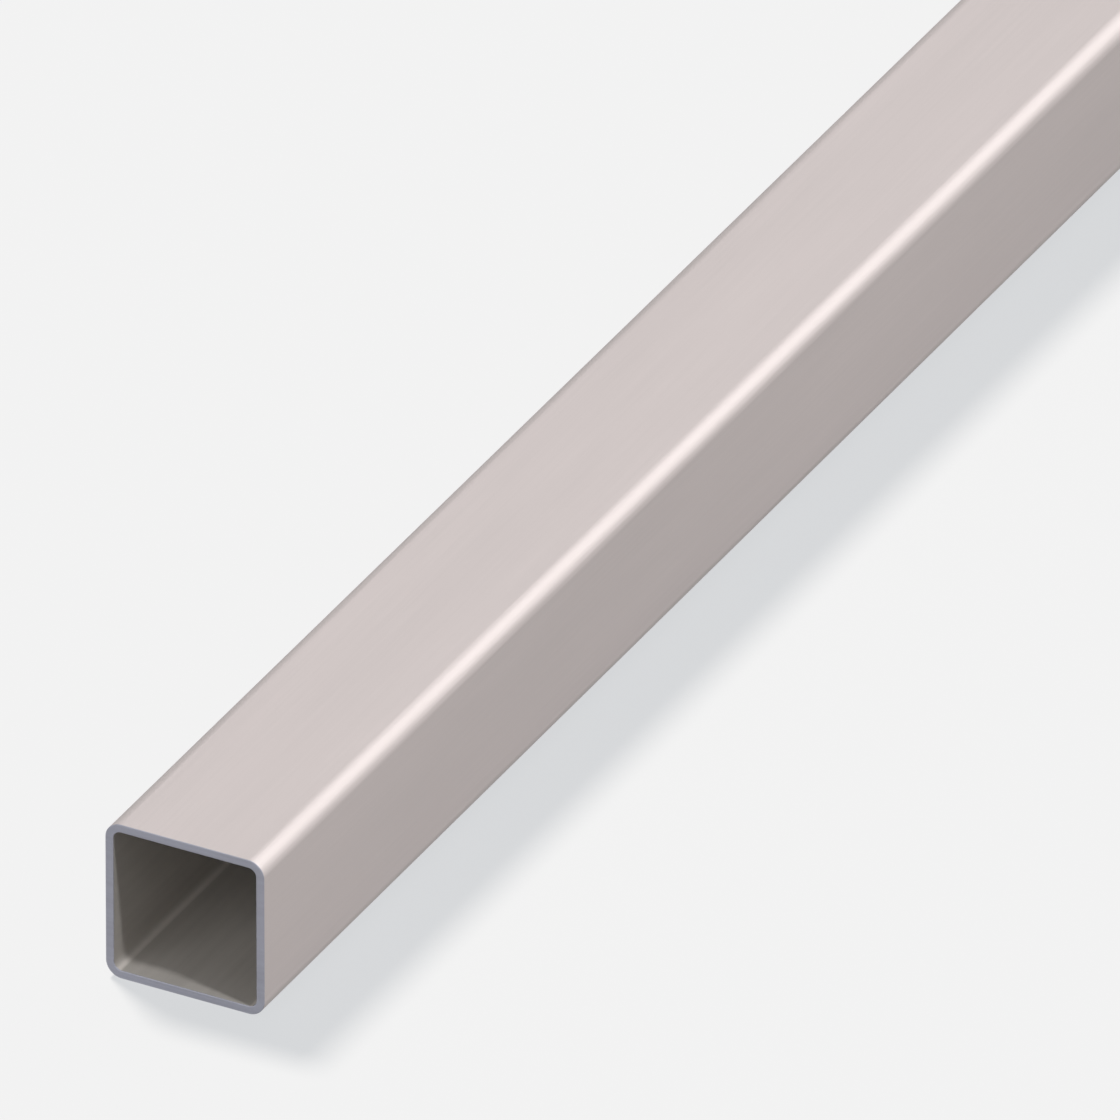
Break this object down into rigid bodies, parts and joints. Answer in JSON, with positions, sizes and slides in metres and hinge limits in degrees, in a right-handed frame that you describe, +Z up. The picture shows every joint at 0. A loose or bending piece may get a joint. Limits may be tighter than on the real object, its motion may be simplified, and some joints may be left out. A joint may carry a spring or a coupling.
{
  "type": "square metal tube",
  "caption": "Straight length of thin-walled square metal tube with rounded corners and open, square-sawn ends, for frames and supports.",
  "frame": {"origin": "centre of the bottom face, halfway along the tube and on the surface that it lies on", "axes": "+Y along the tube away from the pictured end, +Z up through the top face, +X through the right face"},
  "size_m": [0.02, 1, 0.02],
  "materials": {
    "steel": "satin cold-rolled skin, warm grey, with bare sawn ends"
  },
  "bodies": {
    "root": {"square_tube": "steel"}
  },
  "joints": []
}
